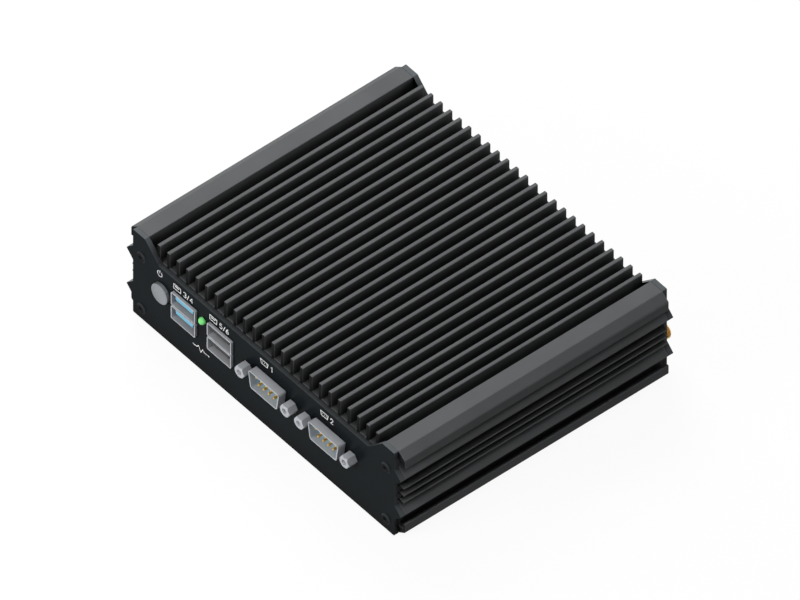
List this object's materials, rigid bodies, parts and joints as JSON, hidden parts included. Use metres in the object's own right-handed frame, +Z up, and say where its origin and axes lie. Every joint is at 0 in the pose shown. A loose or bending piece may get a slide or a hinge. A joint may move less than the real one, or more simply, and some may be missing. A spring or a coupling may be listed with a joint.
{
  "type": "fanless industrial computer",
  "caption": "Compact fanless computer: finned extruded housing between end plates, with serial, USB, network and antenna connectors and a push-button.",
  "frame": {"origin": "under the middle of the machine, from side to side and from jackscrew faces to antenna jack rims, on the plane its feet stand on", "axes": "+X along the front to the right, +Y from the front to the back, +Z up"},
  "size_m": [0.151, 0.1364, 0.044],
  "materials": {
    "black_aluminium": "satin black anodised extrusion",
    "black_plate": "semi-gloss black coated sheet",
    "black_screws": "black oxide",
    "button_metal": "satin, finely turned",
    "connector_metal": "nickel plated, satin",
    "blue_plastic": "moulded",
    "black_plastic": "moulded",
    "teal_plastic": "moulded",
    "gold_contacts": "gold plated",
    "green_lens": "translucent",
    "rubber": "soft, matt",
    "circuit_board": "solder mask",
    "bare_aluminium": "milled",
    "thermal_pad": "soft, matt",
    "chip": "moulded",
    "plated_steel": "zinc plated"
  },
  "bodies": {
    "chassis": {"antenna_jack_left": "gold_contacts", "antenna_jack_right": "gold_contacts", "antenna_nuts": "gold_contacts", "board_screws": "plated_steel", "board_standoffs": "plated_steel", "bottom_cover": "black_plate", "bottom_cover_screws": "black_screws", "bracket_press_nuts": "plated_steel", "card_posts": "plated_steel", "card_screws": "plated_steel", "coin_cell": "plated_steel", "coin_cell_holder": "black_plastic", "front_plate": "black_plate", "front_plate_screws": "black_screws", "heat_spreader_block": "bare_aluminium", "heatsink_housing": "black_aluminium", "lan_contacts": "gold_contacts", "lan_left_housing": "black_plastic", "lan_left_shell": "connector_metal", "lan_right_housing": "black_plastic", "lan_right_shell": "connector_metal", "led_holder": "black_plastic", "memory_module": "circuit_board", "memory_socket": "black_plastic", "motherboard": "circuit_board", "power_inlet_body": "black_plastic", "power_inlet_pin": "connector_metal", "power_switch_body": "black_plastic", "processor": "chip", "radio_module": "circuit_board", "radio_socket": "black_plastic", "rear_plate": "black_plate", "rear_plate_screws": "black_screws", "rubber_feet": "rubber", "serial_jackscrews": "connector_metal", "serial_left_insulator": "teal_plastic", "serial_left_pins": "gold_contacts", "serial_left_shell": "connector_metal", "serial_right_insulator": "teal_plastic", "serial_right_pins": "gold_contacts", "serial_right_shell": "connector_metal", "spreader_screws": "plated_steel", "status_led": "green_lens", "storage_module": "circuit_board", "storage_socket": "black_plastic", "thermal_pad": "thermal_pad", "usb_left_contacts": "gold_contacts", "usb_left_insulator": "blue_plastic", "usb_left_shell": "connector_metal", "usb_rear_contacts": "gold_contacts", "usb_rear_insulator": "blue_plastic", "usb_rear_shell": "connector_metal", "usb_right_contacts": "gold_contacts", "usb_right_insulator": "black_plastic", "usb_right_shell": "connector_metal", "video_port_insulator": "black_plastic", "video_port_shell": "connector_metal"},
    "power_button": {"power_button_cap": "button_metal", "power_switch_plunger": "black_plastic"}
  },
  "joints": [
    {"name": "power_button_press", "type": "slide", "parent": "chassis", "child": "power_button", "axis": [0, 1, 0], "range_m": [0, 0.0008], "stiffness_N_per_m": 800, "springref_m": -0.0005}
  ]
}
